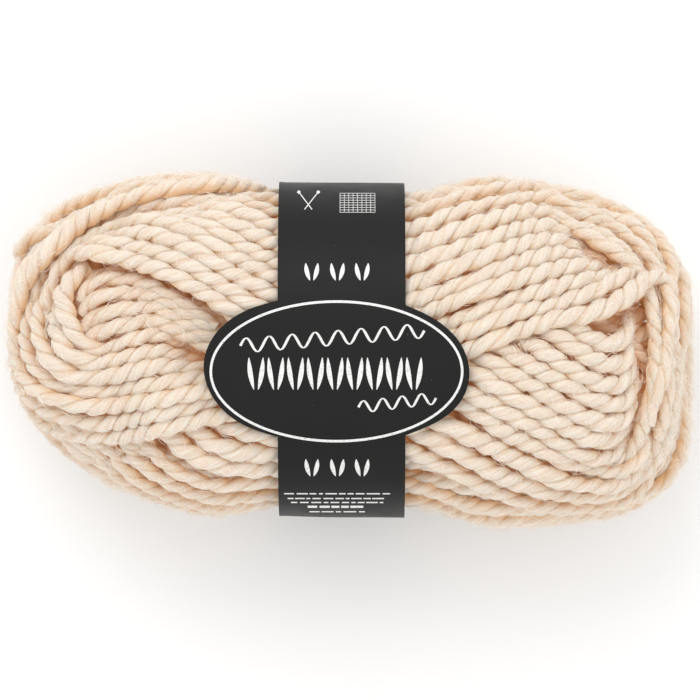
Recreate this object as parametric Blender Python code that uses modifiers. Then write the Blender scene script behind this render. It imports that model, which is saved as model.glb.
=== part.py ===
"""Chunky yarn wound crosswise into an oblong pull skein, held by a paper band with an oval front label.

The skein lies on its back: X runs along its length, Y across it, +Z up out of the label.
The origin is the centre of its base, so the flat spots that it rests on are at z = 0.
"""
import math

import bmesh
import bpy
from mathutils import Vector

# Overall sizes, in metres
LENGTH = 0.170
HALF_ACROSS = 0.0446
HALF_THICKNESS = 0.0380
AXIS_HEIGHT = 0.0339     # less than the half thickness, because its weight flattens the underside

# Wound form: the right end is squarer than the left one, and the left one is carried upwards
LEFT_END_POWER = 2.8
RIGHT_END_POWER = 3.5
SECTION_POWER = 2.25
LEFT_END_RISE = 0.0066
RIGHT_END_DROP = 0.0030

# Waist that the band pulls in
WAIST_DEPTH_SIDES = 0.0046
WAIST_DEPTH_TOP = 0.0034
WAIST_DEPTH_UNDER = 0.0062   # holds the band clear of what the skein rests on
WAIST_FLAT = 0.015       # half length of the waist's level part
SLOPE_SIDES = 0.021      # length of the slope from the waist up to each bulge
SLOPE_TOP = 0.036        # longer above and below, where the label's wings press on the turns

# Furrows between the bundles of turns, and the lesser ones between the twists of one bundle
FURROW_DEPTH = 0.0046
TWIST_SPACING = 0.0128   # three turns of yarn side by side
TWIST_DEPTH = 0.0027
RELIEF_START = 0.017     # no furrow shows nearer the middle than this
RELIEF_FULL = 0.029
RIM_FADE = 0.30          # part of the half width, next to the outline, that stays full
PRESSED = 0.005          # furrows on the underside close within this height of the ground

# Bundles of turns: side (1 is the label's side), start and end of the centre line, half width, crown
# (1 reaches the full form, 0 stays down in the furrows)
BUNDLES = (
    # side, start x, start y, end x, end y, half width, crown
    (1, -0.070, 0.031, -0.016, 0.017, 0.0135, 1.00),    # upper left, falling to the right
    (1, -0.062, -0.011, -0.016, -0.004, 0.0170, 0.75),  # left middle, rising to the right
    (1, -0.079, 0.022, -0.079, -0.016, 0.0090, 0.70),   # turns round the left eye
    (1, -0.060, -0.036, -0.016, -0.033, 0.0100, 0.40),  # lower left, under the others
    (1, 0.018, 0.012, 0.062, 0.031, 0.0190, 1.00),      # upper right, rising to the right
    (1, 0.018, -0.012, 0.066, -0.024, 0.0150, 0.70),    # lower right, falling to the right
    (1, 0.016, -0.039, 0.068, -0.037, 0.0080, 0.45),    # bottom right, nearly level
    (1, 0.046, 0.043, 0.078, 0.016, 0.0080, 0.95),      # outer turns, over the right shoulder
    (1, 0.080, 0.016, 0.079, -0.030, 0.0085, 0.95),     # outer turns, down the right end
    (-1, -0.070, 0.016, -0.016, -0.012, 0.0180, 1.00),  # underside, the bundles that it rests on
    (-1, 0.016, -0.012, 0.070, 0.014, 0.0180, 1.00),
    (-1, -0.060, 0.036, -0.016, 0.026, 0.0120, 0.60),
    (-1, -0.066, -0.028, -0.016, -0.037, 0.0120, 0.70),
    (-1, 0.016, 0.030, 0.062, 0.037, 0.0120, 0.70),
    (-1, 0.016, -0.037, 0.068, -0.026, 0.0120, 0.60),
)

# Eyes of the winding, where the turns swing round each end: x, y, radius, depth
EYES = (
    (-0.066, 0.001, 0.0080, 0.0034),
    (0.0735, 0.012, 0.0070, 0.0034),
)

# Mesh of the wound form
STEPS_AROUND = 68
STEPS_ALONG = 48

# Paper band with its oval label
BAND_WIDTH = 0.0304
BAND_CENTRE_X = -0.0020
PAPER = 0.0010
PAPER_GAP = 0.0004
LABEL_CENTRE_X = -0.0032
LABEL_CENTRE_Y = -0.0047
LABEL_HALF_LENGTH = 0.0315
LABEL_HALF_WIDTH = 0.0179
LABEL_PRESS_START = 0.95  # the turns lie full against the label, to this share of its half sizes
LABEL_PRESS_END = 1.35
LABEL_STEPS = 18
BAND_STEPS = 34
COLUMNS = 8

HALF_LENGTH = LENGTH / 2


def smooth(low, high, value):
    """Ease from 0 at low to 1 at high."""
    share = min(max((value - low) / (high - low), 0.0), 1.0)
    return share * share * (3 - 2 * share)


def signed_power(value, exponent):
    return math.copysign(abs(value) ** exponent, value)


def fullness(x):
    """Share of the full section that the form has at x, from its rounded ends."""
    power = RIGHT_END_POWER if x > 0 else LEFT_END_POWER
    reach = min(abs(x) / HALF_LENGTH, 1.0)
    return (1 - reach ** power) ** (1 / power)


def middle_height_y(x):
    """The centre line's own Y at x: up at the left end, a little down at the right one."""
    if x < 0:
        return LEFT_END_RISE * (x / HALF_LENGTH) ** 2
    return -RIGHT_END_DROP * (x / HALF_LENGTH) ** 2


def offsets_from_line(x, y, x_0, y_0, x_1, y_1):
    """Distance from a bundle's centre line, and the signed distance to its left."""
    along = Vector((x_1 - x_0, y_1 - y_0))
    out = Vector((x - x_0, y - y_0))
    share = min(max(out.dot(along) / along.length_squared, 0.0), 1.0)
    sideways = (along.x * out.y - along.y * out.x) / along.length
    return (out - share * along).length, sideways


def furrow(x, y, side):
    """How far the form sinks at x, y: nothing on a bundle's crown, most between bundles."""
    crown = 0.0
    for row_side, x_0, y_0, x_1, y_1, half_width, height in BUNDLES:
        if row_side == side:
            off, sideways = offsets_from_line(x, y, x_0, y_0, x_1, y_1)
            swell = height * (1 - smooth(0.55, 1.20, off / half_width))
            twist = 0.5 - 0.5 * math.cos(2 * math.pi * sideways / TWIST_SPACING)
            crown = max(crown, swell - twist * TWIST_DEPTH / FURROW_DEPTH)
    sink = FURROW_DEPTH * (1 - crown) * smooth(RELIEF_START, RELIEF_FULL, abs(x))
    if side > 0:
        wing_x = (x - LABEL_CENTRE_X) / LABEL_HALF_LENGTH
        wing_y = (y - LABEL_CENTRE_Y) / LABEL_HALF_WIDTH
        sink *= smooth(LABEL_PRESS_START, LABEL_PRESS_END, math.hypot(wing_x, wing_y))
        for eye_x, eye_y, radius, depth in EYES:
            sink += depth * (1 - smooth(0.2, 1.0, math.hypot(x - eye_x, y - eye_y) / radius))
    return sink


def waist(x, slope):
    """Share of the waist's depth that is felt at x."""
    return 1 - smooth(WAIST_FLAT, WAIST_FLAT + slope, abs(x))


def form_point(x, angle, lift=0.0, carved=False):
    """Point of the wound form at x, at an angle about X from +Z towards +Y, lifted off by lift."""
    full = fullness(x)
    across = signed_power(math.sin(angle), 2 / SECTION_POWER)
    up = signed_power(math.cos(angle), 2 / SECTION_POWER)
    waist_depth = WAIST_DEPTH_TOP if up > 0 else WAIST_DEPTH_UNDER
    half_y = HALF_ACROSS * full - WAIST_DEPTH_SIDES * waist(x, SLOPE_SIDES) + lift
    half_z = HALF_THICKNESS * full - waist_depth * waist(x, SLOPE_TOP) + lift
    if carved:
        side = 1 if up > 0 else -1
        rim = smooth(0.0, RIM_FADE, abs(up)) * smooth(0.0, RIM_FADE, 1 - abs(x) / HALF_LENGTH)
        pressed = smooth(0.0, PRESSED, AXIS_HEIGHT + half_z * up)
        sink = furrow(x, half_y * across, side) * rim * pressed
        half_z -= sink
        half_y -= sink * 0.4
    return Vector((x, middle_height_y(x) + half_y * across, AXIS_HEIGHT + half_z * up))


def make_material(name, colour, roughness):
    material = bpy.data.materials.new(name)
    material.use_nodes = True
    shader = material.node_tree.nodes["Principled BSDF"]
    shader.inputs["Base Color"].default_value = (*colour, 1.0)
    shader.inputs["Roughness"].default_value = roughness
    shader.inputs["Metallic"].default_value = 0.0
    material.diffuse_color = (*colour, 1.0)
    return material


def add_object(name, mesh, material, collection):
    mesh.materials.append(material)
    mesh.shade_smooth()
    made = bpy.data.objects.new(name, mesh)
    collection.objects.link(made)
    return made


def make_wound_yarn(collection):
    """A ball whose poles are the skein's two ends, drawn out to the wound form and settled flat below."""
    shape = bmesh.new()
    bmesh.ops.create_uvsphere(shape, u_segments=STEPS_AROUND, v_segments=STEPS_ALONG, radius=1.0)
    for vertex in shape.verts:
        pole = min(max(vertex.co.z, -1.0), 1.0)
        power = RIGHT_END_POWER if pole > 0 else LEFT_END_POWER
        x = HALF_LENGTH * signed_power(pole, 2 / power)
        angle = math.atan2(vertex.co.x, vertex.co.y)
        vertex.co = form_point(x, angle, carved=True)
        vertex.co.z = max(vertex.co.z, 0.0)
    bmesh.ops.recalc_face_normals(shape, faces=shape.faces)
    mesh = bpy.data.meshes.new("wound_yarn")
    shape.to_mesh(mesh)
    shape.free()
    material = make_material("cream acrylic yarn", (0.86, 0.70, 0.55), 0.85)
    return add_object("wound_yarn", mesh, material, collection)


def front_angle(y):
    """Angle about X at which the lifted waist's front passes y."""
    half_y = HALF_ACROSS - WAIST_DEPTH_SIDES + PAPER_GAP
    return math.asin(signed_power(y / half_y, SECTION_POWER / 2))


def band_rows():
    """Angle, left edge and right edge of each row of the band, once round from the label's lower corner."""
    left = BAND_CENTRE_X - BAND_WIDTH / 2
    right = BAND_CENTRE_X + BAND_WIDTH / 2
    corner = math.acos((LABEL_CENTRE_X - left) / LABEL_HALF_LENGTH)
    rows = []
    for step in range(LABEL_STEPS + 1):
        turn = corner * (2 * step / LABEL_STEPS - 1)
        angle = front_angle(LABEL_CENTRE_Y + LABEL_HALF_WIDTH * math.sin(turn))
        reach = LABEL_HALF_LENGTH * math.cos(turn)
        rows.append((angle, min(left, LABEL_CENTRE_X - reach), max(right, LABEL_CENTRE_X + reach)))
    first = rows[0][0] + 2 * math.pi
    last = rows[-1][0]
    for step in range(1, BAND_STEPS):
        rows.append((last + (first - last) * step / BAND_STEPS, left, right))
    return rows


def make_paper_band(collection):
    """A closed strip round the waist, with the oval label's wings on its front, thickened outwards."""
    shape = bmesh.new()
    grid = []
    for angle, left, right in band_rows():
        row = []
        for column in range(COLUMNS + 1):
            x = left + (right - left) * column / COLUMNS
            row.append(shape.verts.new(form_point(x, angle, lift=PAPER_GAP)))
        grid.append(row)
    for number, row in enumerate(grid):
        following = grid[(number + 1) % len(grid)]
        for column in range(COLUMNS):
            corners = (row[column], row[column + 1], following[column + 1], following[column])
            shape.faces.new(corners)
    mesh = bpy.data.meshes.new("paper_band")
    shape.to_mesh(mesh)
    shape.free()
    material = make_material("coated black paper", (0.022, 0.021, 0.021), 0.35)
    band = add_object("paper_band", mesh, material, collection)
    wall = band.modifiers.new("paper thickness", "SOLIDIFY")
    wall.thickness = PAPER
    wall.offset = 1.0
    wall.use_even_offset = True
    return band


def clear_scene():
    for leftover in list(bpy.data.objects):
        bpy.data.objects.remove(leftover, do_unlink=True)


def main():
    clear_scene()
    collection = bpy.data.collections.new("banded yarn skein")
    bpy.context.scene.collection.children.link(collection)
    make_wound_yarn(collection)
    make_paper_band(collection)


main()
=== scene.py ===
import math

import bmesh
import bpy
import numpy as np
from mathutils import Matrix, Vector, kdtree


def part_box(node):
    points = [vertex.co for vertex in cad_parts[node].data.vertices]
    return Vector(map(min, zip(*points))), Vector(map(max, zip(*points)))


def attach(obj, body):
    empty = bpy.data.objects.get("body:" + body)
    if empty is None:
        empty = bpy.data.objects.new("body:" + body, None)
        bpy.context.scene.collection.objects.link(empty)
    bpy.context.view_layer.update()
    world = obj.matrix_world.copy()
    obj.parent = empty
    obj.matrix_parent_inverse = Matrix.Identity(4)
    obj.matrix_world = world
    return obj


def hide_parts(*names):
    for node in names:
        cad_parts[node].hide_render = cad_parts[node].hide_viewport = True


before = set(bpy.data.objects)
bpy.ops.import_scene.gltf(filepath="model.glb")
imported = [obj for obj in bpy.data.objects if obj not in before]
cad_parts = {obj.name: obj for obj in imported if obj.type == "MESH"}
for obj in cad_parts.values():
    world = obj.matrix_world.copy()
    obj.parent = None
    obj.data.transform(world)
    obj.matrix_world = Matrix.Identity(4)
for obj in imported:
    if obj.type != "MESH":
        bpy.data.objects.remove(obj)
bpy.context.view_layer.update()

yarnLow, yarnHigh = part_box("wound_yarn")
bandLow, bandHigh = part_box("paper_band")
mm = 0.001
rng = np.random.default_rng(41)


# The wound form: a ball drawn out along X, its ends squared off, its waist pulled in by the band.
form = {
    "halfLength": (yarnHigh.x - yarnLow.x) / 2,
    "halfAcross": (yarnHigh.y - yarnLow.y) / 2,
    "fullAcross": 1.007,          # the section's half size against the box's, before the ends narrow it
    "halfThickness": 38.0 * mm,
    "axisHeight": 33.9 * mm,
    "leftPower": 2.8,
    "rightPower": 3.7,
    "sectionPower": 2.25,
    "leftRise": 6.6 * mm,
    "rightDrop": 3.8 * mm,
    # shallow hollows in the ends: side, where it starts and is full along the length, y, width, depth
    "hollows": ((1, 0.85, 0.99, -6 * mm, 11 * mm, 2.4 * mm),
                (-1, 0.60, 0.80, -28 * mm, 9 * mm, 2.6 * mm)),
    "waistSides": 4.6 * mm,
    "waistTop": 3.4 * mm,
    "waistUnder": 6.2 * mm,
    "waistFlat": 15 * mm,
    "slopeSides": 21 * mm,
    "slopeTop": 36 * mm,
}


def addObject(name, data):
    made = bpy.data.objects.new(name, data)
    bpy.context.collection.objects.link(made)
    return made


def ease(low, high, value):
    share = np.clip((value - low) / (high - low), 0.0, 1.0)
    return share * share * (3 - 2 * share)


def endPower(x):
    return np.where(x > 0, form["rightPower"], form["leftPower"])


# the form's own middle line: up at the left end, a little down at the right one
def middleY(x):
    reach = (x / form["halfLength"]) ** 2
    return np.where(x < 0, form["leftRise"], -form["rightDrop"]) * reach


def halfY(x):
    pinch = 1 - ease(form["waistFlat"], form["waistFlat"] + form["slopeSides"], np.abs(x))
    return form["halfAcross"] * form["fullAcross"] - form["waistSides"] * pinch


def halfZ(x, up):
    pinch = 1 - ease(form["waistFlat"], form["waistFlat"] + form["slopeTop"], np.abs(x))
    return form["halfThickness"] - np.where(up > 0, form["waistTop"], form["waistUnder"]) * pinch


# each axis of the form taken back to a unit length
def toBall(points):
    x, y, z = points[:, 0], points[:, 1], points[:, 2] - form["axisHeight"]
    return np.stack([x / form["halfLength"], (y - middleY(x)) / halfY(x), z / halfZ(x, z)], axis=1)


def fromBall(unit):
    x = unit[:, 0] * form["halfLength"]
    y = middleY(x) + unit[:, 1] * halfY(x)
    z = form["axisHeight"] + unit[:, 2] * halfZ(x, unit[:, 2])
    return np.stack([x, y, z], axis=1)


# 1 on the form, less inside it
def fullness(unit):
    power = endPower(unit[:, 0])
    section = np.abs(unit[:, 1]) ** form["sectionPower"] + np.abs(unit[:, 2]) ** form["sectionPower"]
    total = np.abs(unit[:, 0]) ** power + section ** (power / form["sectionPower"])
    return total ** (1 / power)


def onForm(points):
    unit = toBall(points)
    return fromBall(unit / fullness(unit)[:, None])


def formNormals(points):
    slope = np.zeros_like(points)
    step = 0.2 * mm
    for axis in range(3):
        shift = np.zeros(3)
        shift[axis] = step
        slope[:, axis] = fullness(toBall(points + shift)) - fullness(toBall(points - shift))
    return slope / np.linalg.norm(slope, axis=1)[:, None]


# a guide point from its share of the half length and half width, in hundredths.
# side runs from 1, on the label's face, through 0, on the outline, to -1, on the underside
def guidePlace(xShare, yShare, side):
    x = np.array([xShare / 100 * form["halfLength"]])
    y = yShare / 100 * form["halfAcross"]
    across = (y - middleY(x)) / halfY(x)
    power = endPower(x)
    room = (1 - min(abs(xShare) / 100, 1.0) ** power) ** (form["sectionPower"] / power)
    up = np.maximum(room - np.abs(across) ** form["sectionPower"], 0.0) ** (1 / form["sectionPower"])
    unit = np.array([[xShare / 100, across[0], up[0] * side]])
    return fromBall(unit)[0]


# The yarn: two plump plies laid together.
yarn = {
    "thickness": 5.3 * mm,       # across both plies
    "layLength": 10.6 * mm,      # one full twist of the two plies
    "levelDrop": 3.7 * mm,       # from the highest bundles down to the lowest
    "contact": 3.9 * mm,         # how near the middles of two turns come when they press together
    "sampleStep": 1.5 * mm,
    "segment": 0.82 * mm,
    "wander": 0.22 * mm,
    "spring": 0.05 * mm,         # how quickly a turn rises again once it is past the one that crosses it
    "paperMargin": 1.5 * mm,     # how far beside the paper the turns are still pressed by it
    "underPaperDrop": 0.15 * mm,
    "drift": 0.15 * mm,          # how much a turn rises and falls by chance
    "hiddenDrop": 0.62,          # a place this share of a thickness under its neighbours is left out
    "sides": 16,
    "notch": 0.70,               # how far out the groove between the plies is, as a share of the radius
    "flatness": 0.93,
    "unevenness": 0.13,
    "innerTurns": 34,
    "innerDepth": 9.5 * mm,
}

# The winding, from the lowest bundles to the last turn. Each bundle is a fan of turns between guide
# routes with the same number of points. turns counts the steps from one route to the next. level is 1
# where the bundle reaches the full form. dips tell how far its two ends dive, in strand thicknesses, and
# dive is the length over which they do. deepest is how far a turn may be pressed in, in thicknesses, by
# those that cross it.
# A point is (x, y, side), as guidePlace reads it, or (x, y) on the label's face.
plainBundle = {"level": 1.0, "deepest": 3.2, "turns": [], "dips": (0, 0), "dive": 11 * mm}
bundles = [
    {"name": "leftOuterTurns", "level": 1.08, "deepest": 0.66, "turns": [8], "routes": [
        [(-4, 92, 0.1), (-30, 98, 0.1), (-55, 99, 0), (-79, 88, 0), (-94, 54, 0), (-99, 5, 0),
         (-96, -28, -0.2), (-84, -50, -0.2), (-60, -76, -0.2), (-35, -92, -0.2), (-4, -92, -0.3)],
        [(-4, 50, -1), (-30, 52, -1), (-52, 48, -1), (-66, 40, -1), (-76, 22, -1), (-78, 2, -1),
         (-76, -16, -1), (-66, -32, -1), (-52, -44, -1), (-30, -52, -1), (-4, -54, -1)]]},
    {"name": "rightOuterTurns", "level": 1.1, "deepest": 0.66, "turns": [9], "routes": [
        [(8, 92, 0), (35, 98, 0), (60, 95, 0), (79, 84, 0), (91, 66, 0), (98, 40, 0), (98, 4, 0.2),
         (97, -25, 0.2), (95, -52, 0.1), (92, -74, 0), (82, -90, 0), (62, -97, 0), (35, -98, -0.1),
         (8, -92, -0.2)],
        [(8, 50, -1), (30, 52, -1), (48, 50, -1), (60, 45, -1), (70, 36, -1), (77, 22, -1), (80, 6, -1),
         (80, -8, -1), (77, -20, -1), (71, -32, -1), (62, -44, -1), (48, -52, -1), (30, -56, -1),
         (8, -56, -1)]]},
    {"name": "leftSideTurns", "level": 0.9, "deepest": 1.1, "turns": [4], "routes": [
        [(-4, 91, 0.2), (-30, 96, 0.2), (-55, 96, 0.2), (-78, 84, 0.2), (-93, 52, 0.2), (-98, 5, 0.2),
         (-95, -28, 0.2), (-83, -52, 0.2), (-60, -77, 0.2), (-35, -92, 0.2), (-4, -91, 0.2)],
        [(-4, 80), (-30, 84), (-54, 82), (-74, 71), (-87, 45), (-91, 4), (-89, -24), (-78, -45),
         (-56, -65), (-32, -80), (-4, -80)]]},
    {"name": "rightSideTurns", "level": 0.9, "deepest": 1.1, "turns": [4], "routes": [
        [(8, 91, 0.2), (35, 96, 0.2), (60, 94, 0.2), (79, 83, 0.2), (90, 65, 0.2), (96, 40, 0.2),
         (97, 4, 0.2), (96, -25, 0.2), (94, -50, 0.2), (90, -70, 0.2), (80, -86, 0.2), (60, -94, 0.2),
         (35, -96, 0.2), (8, -91, 0.2)],
        [(8, 80), (33, 84), (55, 82), (72, 73), (82, 58), (88, 36), (90, 4), (89, -22), (86, -44),
         (82, -61), (73, -74), (56, -83), (33, -85), (8, -80)]]},
    {"name": "leftInnerTurns", "deepest": 1.3, "turns": [1], "routes": [
        [(-4, 88, 0.8), (-30, 92, 0.9), (-55, 92, 0.6), (-78, 77, 0.6), (-92, 48, 0.4), (-98, 12, 0.3),
         (-96, -18, 0.3), (-90, -40, 0.2)],
        [(-4, 90, 0.5), (-30, 96, 0.5), (-55, 96, 0.4), (-79, 83, 0.3), (-93, 52, 0.2), (-99, 12, 0.1),
         (-97, -20, 0.1), (-90, -42, 0)]]},
    {"name": "rightInnerTurns", "deepest": 0.95, "turns": [2],
     "dips": (0, 1.2), "dive": 9 * mm, "routes": [
        [(28, 98, 0.9), (44, 96, 0.9), (55, 87), (63.5, 76.5), (72, 65.5), (81, 54), (87, 40), (89, 16),
         (89.5, -8), (89, -28), (87, -44)],
        [(25, 97, 0.3), (42, 98, 0.3), (60, 95, 0.3), (74, 86, 0.5), (85, 72, 0.6), (92, 55, 0.7),
         (95, 35, 0.8), (95, 10, 0.9), (95, -15, 0.8), (93, -38, 0.8), (89, -58, 0.8)]]},
    {"name": "rightCornerTurns", "deepest": 0.95, "turns": [1], "routes": [
        [(98, 30, 0.3), (98, 0, 0.4), (96, -30, 0.4), (93, -56, 0.4), (87, -76, 0.4), (76, -89, 0.4),
         (60, -96, 0.4), (38, -98, 0.2), (8, -92, 0)],
        [(95, 30, 0.7), (95, 0, 0.7), (93, -30, 0.8), (90, -52, 0.8), (84, -71, 0.8), (73, -84, 0.9),
         (58, -93, 0.7), (38, -97, 0.5), (8, -92, 0.2)]]},
    {"name": "underLeftLow", "level": 0.85, "turns": [5], "dips": (0.9, 0), "routes": [
        [(-76, -30, -1), (-55, -40, -1), (-30, -34, -1), (-4, -22, -1)],
        [(-58, -84, -0.6), (-42, -86, -0.8), (-22, -80, -1), (-4, -74, -1)]]},
    {"name": "underRightLow", "level": 0.85, "turns": [5], "dips": (0.9, 0), "routes": [
        [(78, -32, -1), (58, -38, -1), (30, -30, -1), (4, -20, -1)],
        [(62, -86, -0.6), (44, -88, -0.8), (22, -82, -1), (4, -76, -1)]]},
    {"name": "underLeftHigh", "turns": [10], "dips": (0.9, 0), "routes": [
        [(-84, 56, -0.4), (-66, 62, -1), (-40, 56, -1), (-20, 44, -1), (-2, 34, -1)],
        [(-90, -18, -0.5), (-74, -24, -1), (-46, -42, -1), (-22, -58, -1), (-2, -70, -1)]]},
    {"name": "underRightHigh", "turns": [10], "dips": (0.9, 0), "routes": [
        [(84, 60, -0.4), (66, 64, -1), (40, 54, -1), (20, 42, -1), (2, 30, -1)],
        [(92, -20, -0.5), (76, -24, -1), (46, -38, -1), (22, -54, -1), (2, -68, -1)]]},
    {"name": "lowerLeftTurns", "level": 0.8, "turns": [3, 3],
     "dips": (1.2, 0), "dive": 8 * mm, "routes": [
        [(-45, -35), (-38, -41), (-31, -46), (-22, -50), (-4, -52)],
        [(-65, -44), (-59, -57), (-49, -71), (-32, -79), (-4, -80)],
        [(-80, -48, 0.9), (-75, -62, 0.9), (-62, -82, 0.8), (-42, -93, 0.4), (-4, -93, 0.2)]]},
    {"name": "lowerRightTurns", "level": 0.8, "turns": [3], "dips": (0, 0.9), "routes": [
        [(6, -56), (17, -65), (26, -72), (34, -78), (43, -85), (52, -91)],
        [(6, -90, 0.3), (20, -93, 0.2), (31, -98, 0.1), (46, -99, 0.1), (63, -98, 0.1),
         (77, -92, 0.1)]]},
    {"name": "lowerRightLoops", "level": 0.92, "turns": [3],
     "dips": (0, 1.2), "dive": 9 * mm, "routes": [
        [(4, -46), (16, -58), (28, -70), (41, -81), (56, -91), (75, -89, 0.9), (89, -74, 0.9),
         (94, -44, 0.9)],
        [(12, -15), (24, -26), (37, -38), (52, -55), (66, -68), (78, -70), (86, -60), (90, -44)]]},
    {"name": "rightEyeTurns", "level": 0.95, "deepest": 1.9, "turns": [3, 3],
     "dips": (0.6, 1.3), "dive": 6 * mm, "routes": [
        [(22, -14), (33, -24), (46, -38), (59, -53), (70, -62), (79, -60), (84, -51), (87, -39)],
        [(34, 10), (42, 1), (52, -10), (61, -20), (69, -28), (77, -31), (82, -23), (85, -12)],
        [(52, 28), (57, 22), (62, 15), (67, 8), (72, 4), (77, 5), (80.5, 13), (82, 23)]]},
    {"name": "leftFanTurns", "level": 0.95, "deepest": 1.4, "turns": [3],
     "dips": (1.2, 0.3), "dive": 6 * mm, "routes": [
        [(-80, 29), (-76, 39), (-69, 43), (-58, 40), (-46, 27), (-37, 13)],
        [(-78, 4), (-74, 9), (-65, 14), (-56, 17.5), (-47, 10), (-38, 1)]]},
    {"name": "leftEyeTurns", "level": 0.9, "turns": [1, 2], "dips": (1, 0), "dive": 7 * mm, "routes": [
        [(-78, 52), (-81, 42), (-83, 31), (-81, 17), (-77, 3), (-72, -1), (-64, 4), (-55, 7.5),
         (-46, 2), (-35, -4)],
        [(-82, 54), (-86, 43), (-88, 31), (-86, 13), (-81, -3), (-74, -9), (-65, -6), (-55, -1.5),
         (-45, -5), (-31, -9)],
        [(-89, 54), (-94, 42), (-95.5, 27), (-95, 6), (-91, -12), (-84, -23), (-72, -25), (-57, -20),
         (-44, -17), (-28, -15)]]},
    {"name": "leftLowTurns", "level": 0.92, "turns": [1], "routes": [
        [(-99, -5, -0.1), (-97, -24, 0.1), (-92, -41, 0.4), (-84, -51, 0.8), (-73, -53), (-58, -47),
         (-41, -39), (-24, -32)],
        [(-100, 20, 0), (-99, 0, 0.1), (-96, -20, 0.5), (-88, -36, 0.9), (-75, -43), (-58, -38),
         (-41, -31), (-24, -24)]]},
    {"name": "leftKnob", "level": 1.15, "dips": (1, 1.5), "dive": 8 * mm, "routes": [
        [(-80, 76, 0.7), (-87, 68, 0.6), (-93, 61, 0.4), (-95, 56, 0.1), (-93, 51, -0.4),
         (-84, 48, -0.8)]]},
    {"name": "upperRightTurns", "turns": [4, 4], "dips": (0, 0.9), "dive": 4 * mm, "routes": [
        [(6, 74), (16, 79), (26, 85), (34, 90), (43, 94), (54, 95, 0.9), (65, 88, 0.9)],
        [(6, 31), (16, 36), (29, 46), (43, 56), (56, 63), (69, 67), (82, 63)],
        [(14, -6), (24, 3), (36, 12), (46, 20), (57, 26), (70, 34), (84, 50)]]},
    {"name": "valleyTurn", "dips": (0, 1), "dive": 9 * mm, "routes": [
        [(14, -16), (24, -7), (36, 2), (46, 10), (57, 17), (69, 21), (79, 31), (86, 41), (91, 41),
         (93, 28), (92.5, 10), (91, -10), (89, -28), (86, -44)]]},
    {"name": "upperLeftTurns", "turns": [5, 3], "dips": (1.2, 0), "dive": 7 * mm, "routes": [
        [(-38, 94), (-34, 93.5), (-30, 92.5), (-26, 91), (-20, 88), (-4, 82)],
        [(-72, 76), (-59, 75), (-50, 71), (-41, 63), (-31, 51), (-6, 27)],
        [(-88, 57), (-74, 55.5), (-63, 51), (-52, 44), (-41, 32), (-26, 9)]]},
    {"name": "lastTurn", "level": 1.08, "routes": [
        [(-4, 88, 0.9), (-20, 93), (-33, 95), (-43, 95), (-52, 92), (-61, 88), (-68, 83), (-75, 76),
         (-83, 63), (-89, 51), (-94, 38), (-97, 20), (-97.5, 3), (-95, -14), (-87, -27), (-74, -33),
         (-58, -29), (-42, -23), (-24, -15)]]},
]

# The paper band: a strip round the waist whose front widens into an oval label.
label = {
    "halfLength": (bandHigh.x - bandLow.x) / 2,
    "centreX": (bandHigh.x + bandLow.x) / 2,
    "halfWidth": 17.9 * mm,
    "centreY": -4.7 * mm,
    "bandWidth": 30.4 * mm,
    "bandCentreX": -2.0 * mm,
    "paper": 0.30 * mm,
    "gap": 0.55 * mm,            # from the form to the paper's underside
    "inkLift": 0.045 * mm,
    "stripLength": 259 * mm,     # flat, with the glued overlap
    "overlap": 0.16,             # how far the glued ends pass each other at the back, in radians each
    "columns": 40,
    "labelRows": 48,
    "backRows": 110,
}


# points every step along a centripetal spline through the given places
def smoothRoute(places, step):
    places = np.asarray(places)
    padded = np.vstack([2 * places[0] - places[1], places, 2 * places[-1] - places[-2]])
    knots = np.concatenate([[0], np.cumsum(np.linalg.norm(np.diff(padded, axis=0), axis=1) ** 0.5)])
    pieces = []
    for number in range(1, len(padded) - 2):
        p0, p1, p2, p3 = padded[number - 1:number + 3]
        t0, t1, t2, t3 = knots[number - 1:number + 3]
        t = np.linspace(t1, t2, 14, endpoint=False)[:, None]
        a1 = (t1 - t) / (t1 - t0) * p0 + (t - t0) / (t1 - t0) * p1
        a2 = (t2 - t) / (t2 - t1) * p1 + (t - t1) / (t2 - t1) * p2
        a3 = (t3 - t) / (t3 - t2) * p2 + (t - t2) / (t3 - t2) * p3
        b1 = (t2 - t) / (t2 - t0) * a1 + (t - t0) / (t2 - t0) * a2
        b2 = (t3 - t) / (t3 - t1) * a2 + (t - t1) / (t3 - t1) * a3
        pieces.append((t2 - t) / (t2 - t1) * b1 + (t - t1) / (t2 - t1) * b2)
    return evenly(np.vstack(pieces + [places[-1:]]), step)


def evenly(points, step):
    run = np.concatenate([[0], np.cumsum(np.linalg.norm(np.diff(points, axis=0), axis=1))])
    count = max(int(round(run[-1] / step)), 4)
    marks = np.linspace(0, run[-1], count + 1)
    return np.stack([np.interp(marks, run, points[:, axis]) for axis in range(3)], axis=1)


# a slow random drift along a turn, of about that size, that changes every span samples
def softNoise(count, span, size):
    knots = rng.normal(0, size, max(int(count / span), 1) + 3)
    places = np.linspace(0, len(knots) - 1.001, count)
    low = places.astype(int)
    share = places - low
    share = share * share * (3 - 2 * share)
    return knots[low] * (1 - share) + knots[low + 1] * share


# the guide points of each turn of a bundle, blended from one route to the next
def bundleRoutes(bundle):
    routes = [np.array([(*guide, 1)[:3] for guide in route], float) for route in bundle["routes"]]
    found = [routes[0]]
    for number, steps in enumerate(bundle["turns"]):
        for step in range(1, steps + 1):
            share = step / steps
            found.append(routes[number] * (1 - share) + routes[number + 1] * share)
    return found


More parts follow.
